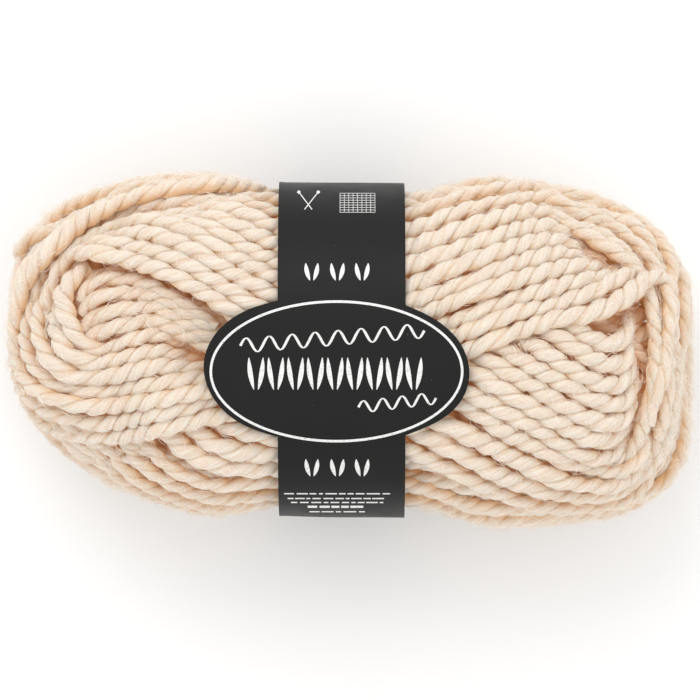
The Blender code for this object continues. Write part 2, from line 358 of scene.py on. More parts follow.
# one turn: its places on the form, the way out from them, and the height that it would like to have
def makeTurn(guides, bundle):
    places = [guidePlace(*guide) for guide in guides]
    base = onForm(evenly(onForm(smoothRoute(places, yarn["sampleStep"])), yarn["sampleStep"]))
    out = formNormals(base)
    aside = np.cross(out, np.gradient(base, axis=0))
    aside /= np.linalg.norm(aside, axis=1)[:, None]
    base = onForm(base + aside * softNoise(len(base), 9, yarn["wander"])[:, None])
    height = np.full(len(base), -yarn["thickness"] / 2 - (1 - bundle["level"]) * yarn["levelDrop"])
    for side, near, far, y, width, depth in form["hollows"]:
        hollow = np.exp(-(((base[:, 1] - y) / width) ** 2))
        height -= depth * hollow * ease(near, far, side * base[:, 0] / form["halfLength"])
    height += softNoise(len(base), 12, yarn["drift"])
    run = np.arange(len(base)) * yarn["sampleStep"]
    height -= bundle["dips"][0] * yarn["thickness"] * (1 - ease(0, bundle["dive"], run))
    height -= bundle["dips"][1] * yarn["thickness"] * (1 - ease(0, bundle["dive"], run[-1] - run))
    return {"base": base, "out": formNormals(base), "height": height, "bundle": bundle["name"],
            "deepest": bundle["deepest"]}


# true where the band or its label lies on the yarn
def underPaper(base, margin):
    x, y, z = base[:, 0], base[:, 1], base[:, 2]
    inBand = np.abs(x - label["bandCentreX"]) < label["bandWidth"] / 2 + margin
    across = ((x - label["centreX"]) / (label["halfLength"] + margin)) ** 2
    up = ((y - label["centreY"]) / (label["halfWidth"] + margin)) ** 2
    return inBand | ((across + up < 1) & (z > form["axisHeight"]))


# presses a turn down under those that cross it later, and lets it rise again between them
def settleTurn(turn, aboveBase, aboveHeight):
    most = turn["height"]
    if len(aboveBase):
        low = turn["base"].min(0) - yarn["contact"]
        high = turn["base"].max(0) + yarn["contact"]
        near = np.all((aboveBase > low) & (aboveBase < high), axis=1)
        others, heights = aboveBase[near], aboveHeight[near]
        if len(others):
            gap = ((turn["base"][:, None, :] - others[None, :, :]) ** 2).sum(axis=2)
            room = yarn["contact"] ** 2 - gap
            under = np.where(room > 0, heights[None, :] - np.sqrt(np.maximum(room, 0)), 1.0)
            most = np.minimum(most, under.min(axis=1))
    pressed = np.minimum(most, -yarn["thickness"] / 2 - yarn["underPaperDrop"])
    most = np.where(underPaper(turn["base"], yarn["paperMargin"]), pressed, most)
    height = most.copy()
    for sweep in range(60):
        between = (height[:-2] + height[2:]) / 2 + yarn["spring"]
        height[1:-1] = np.minimum(most[1:-1], between)
    for sweep in range(3):
        height[1:-1] = (height[:-2] + 2 * height[1:-1] + height[2:]) / 4
    turn["height"] = np.maximum(height, -turn["deepest"] * yarn["thickness"])
    return turn


# a turn of the layer below, on a ring that passes near both ends
def innerTurn(number):
    angle = math.pi * (number + 0.5) / yarn["innerTurns"]
    lean = math.radians(24) * (1 if number % 2 else -1)
    around = np.linspace(0, 2 * math.pi, 240)
    first = np.array([math.cos(lean), math.sin(lean) * math.cos(angle), math.sin(lean) * math.sin(angle)])
    second = np.array([0.0, -math.sin(angle), math.cos(angle)])
    ring = np.cos(around)[:, None] * first + np.sin(around)[:, None] * second
    base = onForm(evenly(onForm(fromBall(ring)), yarn["sampleStep"]))
    height = np.full(len(base), -yarn["innerDepth"] - (number % 3) * 1.6 * mm)
    return {"base": base, "out": formNormals(base), "height": height, "bundle": "innerLayer"}


# works back from the last turn, so that each one finds its place under those wound after it
def windSkein():
    laid = []
    aboveBase = np.zeros((0, 3))
    aboveHeight = np.zeros(0)
    for row in reversed(bundles):
        bundle = {**plainBundle, **row}
        for guides in reversed(bundleRoutes(bundle)):
            turn = settleTurn(makeTurn(guides, bundle), aboveBase, aboveHeight)
            laid.append(turn)
            aboveBase = np.vstack([aboveBase, turn["base"]])
            aboveHeight = np.concatenate([aboveHeight, turn["height"]])
    print("wound", len(laid), "turns")
    for number in range(yarn["innerTurns"]):
        laid.append(innerTurn(number))
    return laid


# the line that the middle of the strand follows, kept off what the skein lies on
def turnPlaces(turn):
    places = turn["base"] + turn["out"] * turn["height"][:, None]
    places[:, 2] = np.maximum(places[:, 2], yarn["thickness"] * 0.40)
    return places


# finds what lies wholly under other turns and needs no mesh, and how hard the rest is squeezed
def markHidden(laid):
    bases = np.vstack([turn["base"] for turn in laid])
    places = np.vstack([turnPlaces(turn) for turn in laid])
    heights = np.concatenate([turn["height"] for turn in laid])
    owners = np.concatenate([np.full(len(turn["base"]), number) for number, turn in enumerate(laid)])
    under = kdtree.KDTree(len(bases))
    beside = kdtree.KDTree(len(bases))
    for number in range(len(bases)):
        under.insert(bases[number], number)
        beside.insert(places[number], number)
    under.balance()
    beside.balance()
    for number, turn in enumerate(laid):
        aside = np.cross(turn["out"], np.gradient(turn["base"], axis=0))
        aside /= np.linalg.norm(aside, axis=1)[:, None]
        own = turnPlaces(turn)
        hidden = np.zeros(len(own), bool)
        room = np.full(len(own), yarn["thickness"])
        for place, height in enumerate(turn["height"]):
            lowest = 1.0
            search = 2.3 * mm if turn["bundle"] != "innerLayer" else 3.1 * mm
            for shift in (-1.9 * mm, 0, 1.9 * mm):
                probe = turn["base"][place] + aside[place] * shift
                tops = [heights[found] for _, found, _ in under.find_range(probe, search)
                        if owners[found] != number]
                lowest = min(lowest, max(tops, default=-1.0))
            hidden[place] = lowest > height + yarn["hiddenDrop"] * yarn["thickness"]
            for _, found, gap in beside.find_range(own[place], yarn["thickness"]):
                if owners[found] != number:
                    room[place] = min(room[place], gap)
        keep = ~hidden
        for spread in range(5):
            keep[1:] |= keep[:-1].copy()
            keep[:-1] |= keep[1:].copy()
        turn["keep"] = keep
        size = np.clip(room * 1.20 / yarn["thickness"], 0.72, 1.0)
        for sweep in range(8):
            size[1:-1] = (size[:-2] + 2 * size[1:-1] + size[2:]) / 4
        turn["size"] = size
    return laid


# a mesh of edges along each kept stretch, with what the strand needs at each point
def strandGuide(name, turns):
    rows, edges, count = [], [], 0
    for turn in turns:
        depth = -turn["height"] / yarn["thickness"] - 0.5
        phase = np.full(len(depth), rng.random())
        row = np.column_stack([turnPlaces(turn), turn["out"], depth, phase, turn["size"]])
        changes = np.flatnonzero(np.diff(np.concatenate([[0], turn["keep"], [0]])))
        for start, end in changes.reshape(-1, 2):
            if end - start > 3:
                rows.append(row[start:end])
                edges += [(count + step, count + step + 1) for step in range(end - start - 1)]
                count += end - start
    rows = np.vstack(rows)
    mesh = bpy.data.meshes.new(name)
    mesh.from_pydata([tuple(place) for place in rows[:, :3]], edges, [])
    outward = mesh.attributes.new("outward", "FLOAT_VECTOR", "POINT")
    outward.data.foreach_set("vector", rows[:, 3:6].ravel())
    for column, key in enumerate(("buried", "phase", "size"), 6):
        values = np.ascontiguousarray(rows[:, column])
        mesh.attributes.new(key, "FLOAT", "POINT").data.foreach_set("value", values)
    return addObject(name, mesh)


# adds nodes to a tree from left to right and wires them by value
class treeWriter:
    def __init__(self, tree):
        self.tree = tree
        self.column = 0

    def add(self, kind, inputs=None, **settings):
        node = self.tree.nodes.new(kind)
        node.location = (self.column * 190, -40 * (self.column % 5))
        self.column += 1
        for key, value in settings.items():
            setattr(node, key, value)
        for key, value in (inputs or {}).items():
            self.feed(node.inputs[key], value)
        return node

    def noise(self, place, scale, detail, roughness=0.5):
        given = {"Vector": place, "Scale": scale, "Detail": detail, "Roughness": roughness}
        return self.add("ShaderNodeTexNoise", given).outputs["Fac"]

    def read(self, name, kind="FLOAT"):
        node = self.add("GeometryNodeInputNamedAttribute", {"Name": name}, data_type=kind)
        return node.outputs["Attribute"]

    def shape(self, kind, **inputs):
        return self.add("GeometryNode" + kind, inputs).outputs["Geometry"]

    def store(self, geometry, name, value, kind="FLOAT"):
        given = {"Geometry": geometry, "Name": name, "Value": value}
        return self.add("GeometryNodeStoreNamedAttribute", given, data_type=kind).outputs["Geometry"]

    def bump(self, height, strength, distance):
        given = {"Height": height, "Strength": strength, "Distance": distance}
        return self.add("ShaderNodeBump", given).outputs["Normal"]

    def mix(self, share, first, second):
        node = self.add("ShaderNodeMix", data_type="RGBA")
        self.feed(node.inputs["Factor"], share)
        self.feed(node.inputs["A"], first)
        self.feed(node.inputs["B"], second)
        return node.outputs["Result"]

    def range(self, value, low, high, first=0.0, second=1.0):
        node = self.add("ShaderNodeMapRange", interpolation_type="SMOOTHSTEP")
        for socket, given in zip(node.inputs, (value, low, high, first, second)):
            self.feed(socket, given)
        return node.outputs["Result"]

    def join(self, x=0.0, y=0.0, z=0.0):
        return self.add("ShaderNodeCombineXYZ", {"X": x, "Y": y, "Z": z}).outputs["Vector"]

    def position(self):
        return self.add("GeometryNodeInputPosition").outputs["Position"]

    def random(self, seed):
        return self.add("FunctionNodeRandomValue", {"Seed": seed}, data_type="FLOAT").outputs[1]

    # sets down on what the skein rests on, drops the attributes that aren't needed, gives the material
    def finish(self, shape, source, dropped):
        now = self.add("ShaderNodeSeparateXYZ", {"Vector": self.position()}).outputs
        flat = self.join(now["X"], now["Y"], self.math("MAXIMUM", now["Z"], 0.05 * mm))
        shape = self.shape("SetPosition", Geometry=shape, Position=flat)
        for name in dropped:
            shape = self.shape("RemoveAttribute", Geometry=shape, Name=name)
        shape = self.shape("RealizeInstances", Geometry=shape)
        shape = self.shape("SetMaterial", Geometry=shape, Material=source["Material"])
        self.add("NodeGroupOutput", {"Geometry": shape})

    def feed(self, socket, value):
        if isinstance(value, bpy.types.NodeSocket):
            self.tree.links.new(value, socket)
        else:
            socket.default_value = value

    def math(self, operation, first, second=0.0, third=0.0, clamp=False):
        node = self.add("ShaderNodeMath", operation=operation, use_clamp=clamp)
        for socket, value in zip(node.inputs, (first, second, third)):
            self.feed(socket, value)
        return node.outputs[0]

    def times(self, first, second):
        return self.math("MULTIPLY", first, second)

    def plus(self, first, second, clamp=False):
        return self.math("ADD", first, second, clamp=clamp)

    def minus(self, first, second):
        return self.math("SUBTRACT", first, second)

    def vector(self, operation, first, second=None, scale=None):
        node = self.add("ShaderNodeVectorMath", operation=operation)
        self.feed(node.inputs[0], first)
        if second is not None:
            self.feed(node.inputs[1], second)
        if scale is not None:
            self.feed(node.inputs["Scale"], scale)
        return node.outputs["Value"] if operation in ("DOT_PRODUCT", "LENGTH") else node.outputs["Vector"]


# a geometry tree with a geometry in and out, and a named input for each size; "" stands for a material
def newGeometryTree(name, sizes):
    tree = bpy.data.node_groups.new(name, "GeometryNodeTree")
    tree.interface.new_socket("Geometry", in_out="INPUT", socket_type="NodeSocketGeometry")
    kinds = {int: "NodeSocketInt", float: "NodeSocketFloat", str: "NodeSocketMaterial"}
    for size, value in sizes.items():
        socket = tree.interface.new_socket(size, in_out="INPUT", socket_type=kinds[type(value)])
        if value != "":
            socket.default_value = value
    tree.interface.new_socket("Geometry", in_out="OUTPUT", socket_type="NodeSocketGeometry")
    return tree


# runs a geometry tree on a guide object and keeps the result as a plain mesh of its own
def bakeTree(guide, tree, values, name):
    modifier = guide.modifiers.new("maker", "NODES")
    modifier.node_group = tree
    for item in tree.interface.items_tree:
        if item.item_type == "SOCKET" and item.in_out == "INPUT" and item.name in values:
            modifier[item.identifier] = values[item.name]
    depsgraph = bpy.context.evaluated_depsgraph_get()
    mesh = bpy.data.meshes.new_from_object(guide.evaluated_get(depsgraph))
    mesh.name = name
    bpy.data.objects.remove(guide, do_unlink=True)
    return addObject(name, mesh)


# turns guide lines into a strand of two plies, twisted together
def pliedStrandTree():
    tree = newGeometryTree("pliedStrand", {
        "Thickness": yarn["thickness"], "Lay Length": yarn["layLength"], "Segment": yarn["segment"],
        "Sides": yarn["sides"], "Notch": yarn["notch"], "Flatness": yarn["flatness"],
        "Unevenness": yarn["unevenness"], "Material": ""})
    net = treeWriter(tree)
    source = net.add("NodeGroupInput").outputs
    half = net.times(source["Thickness"], 0.5)
    lines = net.add("GeometryNodeMeshToCurve", {"Mesh": source["Geometry"]}).outputs["Curve"]
    lines = net.add("GeometryNodeResampleCurve", {"Curve": lines, "Length": source["Segment"]},
                  mode="LENGTH").outputs["Curve"]
    along = net.add("GeometryNodeSplineParameter").outputs["Length"]
    place = net.position()

    # the twist drifts a little, and each turn starts at its own phase
    turn = net.math("DIVIDE", along, source["Lay Length"])
    turn = net.plus(turn, net.times(net.noise(place, 45.0, 1.0), 1.5))
    turn = net.plus(turn, net.times(net.read("phase"), 7.0))
    tilt = net.times(turn, -2 * math.pi)
    lines = net.add("GeometryNodeSetCurveTilt", {"Curve": lines, "Tilt": tilt}).outputs["Curve"]
    swell = net.minus(net.noise(place, 110.0, 2.0), 0.5)
    swell = net.math("MULTIPLY_ADD", swell, net.times(source["Unevenness"], 2.4), 1.0)
    radius = net.times(net.times(swell, net.read("size")), half)
    lines = net.add("GeometryNodeSetCurveRadius", {"Curve": lines, "Radius": radius}).outputs["Curve"]
    lines = net.store(lines, "middle", place, "FLOAT_VECTOR")
    lines = net.store(lines, "run", along)
    heading = net.add("GeometryNodeInputTangent").outputs["Tangent"]
    lines = net.store(lines, "heading", heading, "FLOAT_VECTOR")

    # the section: a round drawn in at two sides, so that it reads as two plies
    circle = net.add("GeometryNodeCurvePrimitiveCircle", {"Resolution": source["Sides"], "Radius": 1.0})
    share = net.math("DIVIDE", net.add("GeometryNodeInputIndex").outputs["Index"], source["Sides"])
    angle = net.times(share, 2 * math.pi)
    crowd = net.times(net.math("SINE", net.times(angle, 2.0)), 0.22)
    angle = net.minus(angle, crowd)
    height = net.math("SINE", angle)
    lobe = net.math("POWER", net.math("ABSOLUTE", height), 0.62)
    lobeReach = net.times(lobe, net.minus(1.0, source["Notch"]))
    reach = net.plus(source["Notch"], lobeReach)
    across = net.times(net.times(net.math("COSINE", angle), reach), source["Flatness"])
    spot = net.join(across, net.times(height, reach))
    section = net.shape("SetPosition", Geometry=circle.outputs["Curve"], Position=spot)
    section = net.store(section, "groove", net.minus(1.0, lobe))
    section = net.store(section, "around", angle)

    shape = net.add("GeometryNodeCurveToMesh", {
        "Curve": lines, "Profile Curve": section, "Fill Caps": True,
        "Scale": net.add("GeometryNodeInputRadius").outputs["Radius"]}).outputs["Mesh"]
    offset = net.vector("SUBTRACT", net.position(), net.read("middle", "FLOAT_VECTOR"))
    facing = net.vector("DOT_PRODUCT", offset, net.read("outward", "FLOAT_VECTOR"))
    shape = net.store(shape, "facing", net.math("DIVIDE", facing, half))

    # small lumps in the plies
    most = net.times(source["Thickness"], net.times(source["Unevenness"], 0.9))
    lump = net.times(net.minus(net.noise(net.position(), 420.0, 2.0), 0.5), most)
    push = net.vector("SCALE", net.add("GeometryNodeInputNormal").outputs["Normal"], scale=lump)
    shape = net.shape("SetPosition", Geometry=shape, Offset=push)
    shape = net.shape("SetShadeSmooth", Geometry=shape)
    net.finish(shape, source, ("middle", "outward", "phase", "size"))
    return tree


def newMaterial(name, roughness, sockets=None):
    material = bpy.data.materials.new(name)
    material.use_nodes = True
    shader = material.node_tree.nodes["Principled BSDF"]
    shader.inputs["Roughness"].default_value = roughness
    for socket, value in (sockets or {}).items():
        shader.inputs[socket].default_value = value
    shader.location = (1400, 0)
    material.node_tree.nodes["Material Output"].location = (1700, 0)
    return material, shader.inputs, treeWriter(material.node_tree)


# fine fibres that run along each ply: a mask of light and dark streaks, and a height
def fibreGroup():
    group = bpy.data.node_groups.new("spunFibres", "ShaderNodeTree")
    for name, kind, value in (("Run", "NodeSocketFloat", 0.0), ("Around", "NodeSocketFloat", 0.0),
                              ("Streaks", "NodeSocketFloat", 5.0), ("Stretch", "NodeSocketFloat", 260.0)):
        group.interface.new_socket(name, in_out="INPUT", socket_type=kind).default_value = value
    for name in ("Streak", "Height", "Blotch"):
        group.interface.new_socket(name, in_out="OUTPUT", socket_type="NodeSocketFloat")
    net = treeWriter(group)
    source = net.add("NodeGroupInput").outputs
    spot = net.join(net.times(net.math("COSINE", source["Around"]), source["Streaks"]),
                  net.times(net.math("SINE", source["Around"]), source["Streaks"]),
                  net.times(source["Run"], source["Stretch"]))
    streak = net.noise(spot, 1.0, 4.0, 0.65)
    fine = net.noise(spot, 3.2, 3.0, 0.6)
    height = net.plus(net.times(streak, 0.6), net.times(fine, 0.4))
    net.add("NodeGroupOutput", {"Streak": streak, "Height": height, "Blotch": net.noise(spot, 0.30, 2.0)})
    return group


# the yarn's own colours, with painted shade and painted glow colours for its grooves, its buried turns
# and its gaps
yarnColourAndPaintedLight = {
    "crown": (0.810, 0.712, 0.600, 1),
    "body": (0.770, 0.640, 0.510, 1),
    # groove: painted shade colour, laid in the grooves between the plies and on the sides of each turn
    # that face away from the form
    "groove": (0.760, 0.500, 0.285, 1),
    # painted shade colour for turns pressed down under others
    "buriedShade": (0.660, 0.340, 0.160, 1),
    "streak": (0.885, 0.828, 0.748, 1),
    # tan: partly fibre tone, partly painted shade in the hollows of the fibre relief
    "tan": (0.700, 0.520, 0.370, 1),
    "glow": (0.560, 0.270, 0.090, 1),   # light that comes through the turns into the gaps
    "fibreBump": 0.8,
    "sockets": {
        "Emission Strength": 0.30,
        "Subsurface Weight": 0.35,
        "Subsurface Radius": (1.0, 0.52, 0.28),
        "Subsurface Scale": 1.6 * mm,
        "Sheen Weight": 0.25,
        "Sheen Roughness": 0.45,
        "Sheen Tint": (1.0, 0.95, 0.90, 1),
        "Specular IOR Level": 0.35,
    },
}


def yarnMaterial(fibres):
    material, look, net = newMaterial("creamAcrylicYarn", 0.72, yarnColourAndPaintedLight["sockets"])
    read = {}
    for name in ("groove", "facing", "buried", "run", "around"):
        read[name] = net.add("ShaderNodeAttribute", attribute_name=name).outputs["Fac"]
    spun = net.add("ShaderNodeGroup", node_tree=fibres)
    net.feed(spun.inputs["Run"], read["run"])
    net.feed(spun.inputs["Around"], read["around"])
    # painted shade: the grooves between the plies and the sides of each turn that face away from the form
    # are mixed towards the groove colour
    notch = net.range(read["groove"], 0.30, 1.0)
    side = net.range(read["facing"], 0.75, -0.35)
    # painted shade: the further a turn lies pressed under others, the more it is mixed towards a brown
    # shade colour
    buriedShadeMask = net.range(read["buried"], 0.55, 1.9)
    shade = net.plus(net.times(notch, 0.40), net.times(side, 0.95), clamp=True)
    blotch = net.range(spun.outputs["Blotch"], 0.35, 0.65)
    colour = net.mix(blotch, yarnColourAndPaintedLight["crown"], yarnColourAndPaintedLight["body"])
    colour = net.mix(shade, colour, yarnColourAndPaintedLight["groove"])
    colour = net.mix(net.times(buriedShadeMask, 0.8), colour, yarnColourAndPaintedLight["buriedShade"])
    lit = net.minus(1.0, shade)
    # partly fibre tone, partly painted shade: where the fibre relief that also drives the bump is low, a
    # lit turn is mixed towards tan
    fibreToneAndHollowShade = net.times(net.range(spun.outputs["Height"], 0.50, 0.36), 0.45)
    colour = net.mix(net.times(fibreToneAndHollowShade, lit), colour, yarnColourAndPaintedLight["tan"])
    pale = net.times(net.range(spun.outputs["Streak"], 0.48, 0.64), 0.75)
    colour = net.mix(net.times(pale, lit), colour, yarnColourAndPaintedLight["streak"])
    net.feed(look["Base Color"], colour)
    net.feed(look["Normal"], net.bump(spun.outputs["Height"], yarnColourAndPaintedLight["fibreBump"], 0.35 * mm))
    # painted glow: sides that face away and turns pressed under others give off a warm emission, in place
    # of light that comes through the yarn
    hollow = net.plus(net.times(net.range(read["facing"], 0.50, -0.55), 0.50),
                    net.times(buriedShadeMask, 0.55), clamp=True)
    net.feed(look["Emission Color"], net.mix(hollow, (0, 0, 0, 1), yarnColourAndPaintedLight["glow"]))
    return material


def signedPower(value, power):
    return np.sign(value) * np.abs(value) ** power


# how far the paper is from the middle line at x, at the side and at the top or bottom
def wrapReach(x, up, lift):
    full = (1 - np.abs(x / form["halfLength"]) ** endPower(x)) ** (1 / endPower(x))
    wide = form["halfAcross"] * form["fullAcross"]
    reachY = wide * full - (wide - halfY(x)) + lift
    reachZ = form["halfThickness"] * full - (form["halfThickness"] - halfZ(x, up)) + lift
    return reachY, reachZ


# a place lift off the form, at x along it and at that angle about X, where 0 is the front
def wrapPoint(x, angle, lift):
    across = signedPower(np.sin(angle), 2 / form["sectionPower"])
    up = signedPower(np.cos(angle), 2 / form["sectionPower"])
    reachY, reachZ = wrapReach(x, up, lift)
    return np.stack([x, middleY(x) + reachY * across, form["axisHeight"] + reachZ * up], axis=-1)


def frontAngle(y):
    reach = form["halfAcross"] * form["fullAcross"] - form["waistSides"] + 0.4 * mm
    return np.arcsin(signedPower(y / reach, form["sectionPower"] / 2))


# angle, left edge, right edge and added lift of each row, from one glued end round to the other
def bandRows():
    left = label["bandCentreX"] - label["bandWidth"] / 2
    right = label["bandCentreX"] + label["bandWidth"] / 2
    corner = math.acos((label["centreX"] - left) / label["halfLength"])
    front = []
    for turn in np.linspace(-corner, corner, label["labelRows"] + 1):
        angle = float(frontAngle(label["centreY"] + label["halfWidth"] * math.sin(turn)))
        reach = label["halfLength"] * math.cos(turn)
        edges = min(left, label["centreX"] - reach), max(right, label["centreX"] + reach)
        front.append((angle, *edges, 0.0))
    steps = label["backRows"] // 2
    before = [(angle, left, right, 0.0)
              for angle in np.linspace(-math.pi - label["overlap"], front[0][0], steps, endpoint=False)]
    after = []
    for angle in np.linspace(front[-1][0], math.pi + label["overlap"], steps + 1)[1:]:
        over = float(ease(math.pi - 2.2 * label["overlap"], math.pi - 1.1 * label["overlap"], angle))
        after.append((angle, left, right, over * 1.25 * label["paper"]))
    return before + front + after


# the strip as a thin closed sheet, with its own flat measure kept as a UV map
def makeBand(material):
    rows = bandRows()
    columns = label["columns"]
    shape = bmesh.new()
    flat = shape.loops.layers.uv.new("paperMeasure")
    sides = []
    for lift in (label["gap"], label["gap"] + label["paper"]):
        grid = []
        for angle, left, right, extra in rows:
            x = np.linspace(left, right, columns + 1)
            places = wrapPoint(x, np.full(columns + 1, angle), lift + extra)
            grid.append([shape.verts.new(place) for place in places])
        sides.append(grid)
    inner, outer = sides
    last = len(rows) - 1
    run = {}
    for number, (angle, left, right, extra) in enumerate(rows):
        for column, vertex in enumerate(outer[number]):
            place = (left + (right - left) * column / columns, angle * 0.036)
            run[vertex] = place
            run[inner[number][column]] = place
    for row in range(last):
        for column in range(columns):
            shape.faces.new((outer[row][column], outer[row][column + 1],
                             outer[row + 1][column + 1], outer[row + 1][column]))
            shape.faces.new((inner[row][column], inner[row + 1][column],
                             inner[row + 1][column + 1], inner[row][column + 1]))
        for column in (0, columns):
            shape.faces.new((inner[row][column], outer[row][column],
                             outer[row + 1][column], inner[row + 1][column]))
    for column in range(columns):
        for row in (0, last):
            shape.faces.new((inner[row][column], inner[row][column + 1],
                             outer[row][column + 1], outer[row][column]))
    bmesh.ops.recalc_face_normals(shape, faces=shape.faces)
    for face in shape.faces:
        for loop in face.loops:
            loop[flat].uv = run[loop.vert]
    mesh = bpy.data.meshes.new("paperBand")
    shape.to_mesh(mesh)
    shape.free()
    mesh.materials.append(material)
    mesh.shade_smooth()
    mesh.set_sharp_from_angle(angle=math.radians(50))
    return addObject("paperBand", mesh)


# gathers strokes of white print, laid on the paper's outer face
class printMaker:
    def __init__(self):
        self.places = []
        self.faces = []

    def onPaper(self, x, y):
        reachY, reachZ = wrapReach(x, 1.0, label["gap"] + label["paper"] + label["inkLift"])
        across = np.clip(np.abs((y - middleY(x)) / reachY), 0, 0.999)
        up = (1 - across ** form["sectionPower"]) ** (1 / form["sectionPower"])
        return (float(x), float(y), float(form["axisHeight"] + reachZ * up))

    # a line of print through points in millimetres; widths is one width or one for each point
    def stroke(self, line, widths, closed=False):
        line = np.array(line, float)
        widths = np.broadcast_to(np.array(widths, float), (len(line),))
        if closed:
            heading = np.roll(line, -1, axis=0) - np.roll(line, 1, axis=0)
        else:
            heading = np.gradient(line, axis=0)
        heading /= np.linalg.norm(heading, axis=1)[:, None]
        aside = np.stack([-heading[:, 1], heading[:, 0]], axis=1) * widths[:, None] / 2
        first = len(self.places)
        for left, right in zip(line - aside, line + aside):
            self.places.append(self.onPaper(left[0] * mm, left[1] * mm))
            self.places.append(self.onPaper(right[0] * mm, right[1] * mm))
        count = len(line)
        for step in range(count if closed else count - 1):
            here = first + 2 * step
            following = first + 2 * ((step + 1) % count)
            self.faces.append((here, following, following + 1, here + 1))

    def straight(self, start, end, width, steps=6):
        share = np.linspace(0, 1, steps)[:, None]
        self.stroke(np.array(start) * (1 - share) + np.array(end) * share, width)

    # one knitted stitch: two leaves that meet at the foot
    def stitch(self, x, y, wide, tall, weight):
        share = np.linspace(0, 1, 13)
        for side in (-1, 1):
            lean = side * (0.11 * wide + 0.25 * wide * share + 0.05 * wide * np.sin(math.pi * share))
            body = np.sin(math.pi * np.clip(share, 0.015, 0.985)) ** 0.7 * weight
            self.stroke(np.stack([x + lean, y + tall * (share - 0.5)], axis=1), body)

    def knob(self, x, y, size):
        share = np.linspace(0, 1, 9)
        body = size * np.sin(math.pi * np.clip(share, 0.06, 0.94))
        self.stroke(np.stack([x + 0 * share, y + size * (share - 0.5)], axis=1), body)

    def wave(self, start, end, height, count, width):
        share = np.linspace(0, 1, 26 * count)
        x = start[0] + (end[0] - start[0]) * share
        y = start[1] + (end[1] - start[1]) * share + height / 2 * np.sin(2 * math.pi * count * share)
        taper = width * (0.45 + 0.55 * np.abs(np.cos(2 * math.pi * count * share)))
        self.stroke(np.stack([x, y], axis=1), taper)

    def finish(self, name, material):
        mesh = bpy.data.meshes.new(name)
        mesh.from_pydata(self.places, [], self.faces)
        mesh.update()
        facing = bmesh.new()
        facing.from_mesh(mesh)
        for face in facing.faces:
            face.normal_update()
            if face.normal.z < 0:
                face.normal_flip()
        facing.to_mesh(mesh)
        facing.free()
        mesh.materials.append(material)
        return addObject(name, mesh)


labelArt = {
    "rim": {"centre": (-3.2, -5.1), "half": (29.8, 16.6), "width": 0.60},
    "stitchRow": {"from": -22.3, "to": 15.2, "y": -5.6, "count": 9, "tall": 7.6, "weight": 1.15},
    "upperThread": {"from": (-26.0, 1.0), "to": (17.6, 4.6), "height": 3.4, "count": 8, "width": 0.62},
    "lowerThread": {"from": (2.0, -13.6), "to": (20.4, -11.4), "height": 2.8, "count": 4, "width": 0.58},
    "smallStitches": {
        "x": (-9.1, -3.0, 2.9), "y": (18.6, -28.1), "wide": 4.0, "tall": 4.1, "weight": 1.05},
    "needles": {"x": -10.0, "y": 35.9, "half": (1.8, 2.2), "width": 0.24},
    "gauge": {"left": -2.4, "right": 6.0, "low": 33.0, "high": 37.8, "lines": 9, "width": 0.11},
    "smallLines": {
        "y": (-34.5, -35.7, -36.7, -37.8, -39.1), "inset": (0, 0.8, 1.6, 5.6, 6.0), "heavy": 3,
        "left": -15.8, "right": 9.6, "height": 0.42},
}


# plain ornament in place of lettering: knitted stitches, a wavy thread, needles and a gauge square
def makePrint(material):
    marks = printMaker()
    art = labelArt["rim"]
    turns = np.linspace(0, 2 * math.pi, 160, endpoint=False)
    oval = np.stack([art["centre"][0] + art["half"][0] * np.cos(turns),
                     art["centre"][1] + art["half"][1] * np.sin(turns)], axis=1)
    marks.stroke(oval, art["width"], closed=True)
    art = labelArt["stitchRow"]
    step = (art["to"] - art["from"]) / (art["count"] - 1)
    for number in range(art["count"]):
        marks.stitch(art["from"] + step * number, art["y"], step, art["tall"], art["weight"])
    for name in ("upperThread", "lowerThread"):
        art = labelArt[name]
        marks.wave(art["from"], art["to"], art["height"], art["count"], art["width"])
    art = labelArt["smallStitches"]
    for y in art["y"]:
        for x in art["x"]:
            marks.stitch(x, y, art["wide"], art["tall"], art["weight"])
    art = labelArt["needles"]
    x, y = art["x"], art["y"]
    wide, tall = art["half"]
    for foot in (-wide, wide):
        marks.straight((x + foot * 0.5, y - tall), (x - foot * 1.3, y + tall), art["width"])
        marks.knob(x - foot * 1.3, y + tall, 0.9)
    art = labelArt["gauge"]
    for share in np.linspace(0, 1, art["lines"]):
        across = art["left"] + (art["right"] - art["left"]) * share
        upright = art["low"] + (art["high"] - art["low"]) * share
        marks.straight((across, art["low"]), (across, art["high"]), art["width"], 10)
        marks.straight((art["left"], upright), (art["right"], upright), art["width"], 10)
    art = labelArt["smallLines"]
    dash = np.random.default_rng(7)
    for number, y in enumerate(art["y"]):
        thick = art["height"] * (1.35 if number == art["heavy"] else 0.75)
        inset = art["inset"][number]
        x = art["left"] + inset
        while x < art["right"] - inset - 0.5:
            length = min(dash.uniform(0.9, 3.2), art["right"] - inset - x)
            marks.straight((x, y), (x + length, y), thick, 5)
            x += length + dash.uniform(0.35, 0.7)
    return marks.finish("labelPrint", material)


paperFinish = {
    "ink": (0.0065, 0.0062, 0.0060, 1),
    "worn": (0.0100, 0.0096, 0.0092, 1),
    "smooth": 0.42,
    "rough": 0.56,
    "dust": (0.35, 0.34, 0.33, 1),
    "print": (0.80, 0.80, 0.79, 1),
    "thinPrint": (0.42, 0.42, 0.41, 1),
}


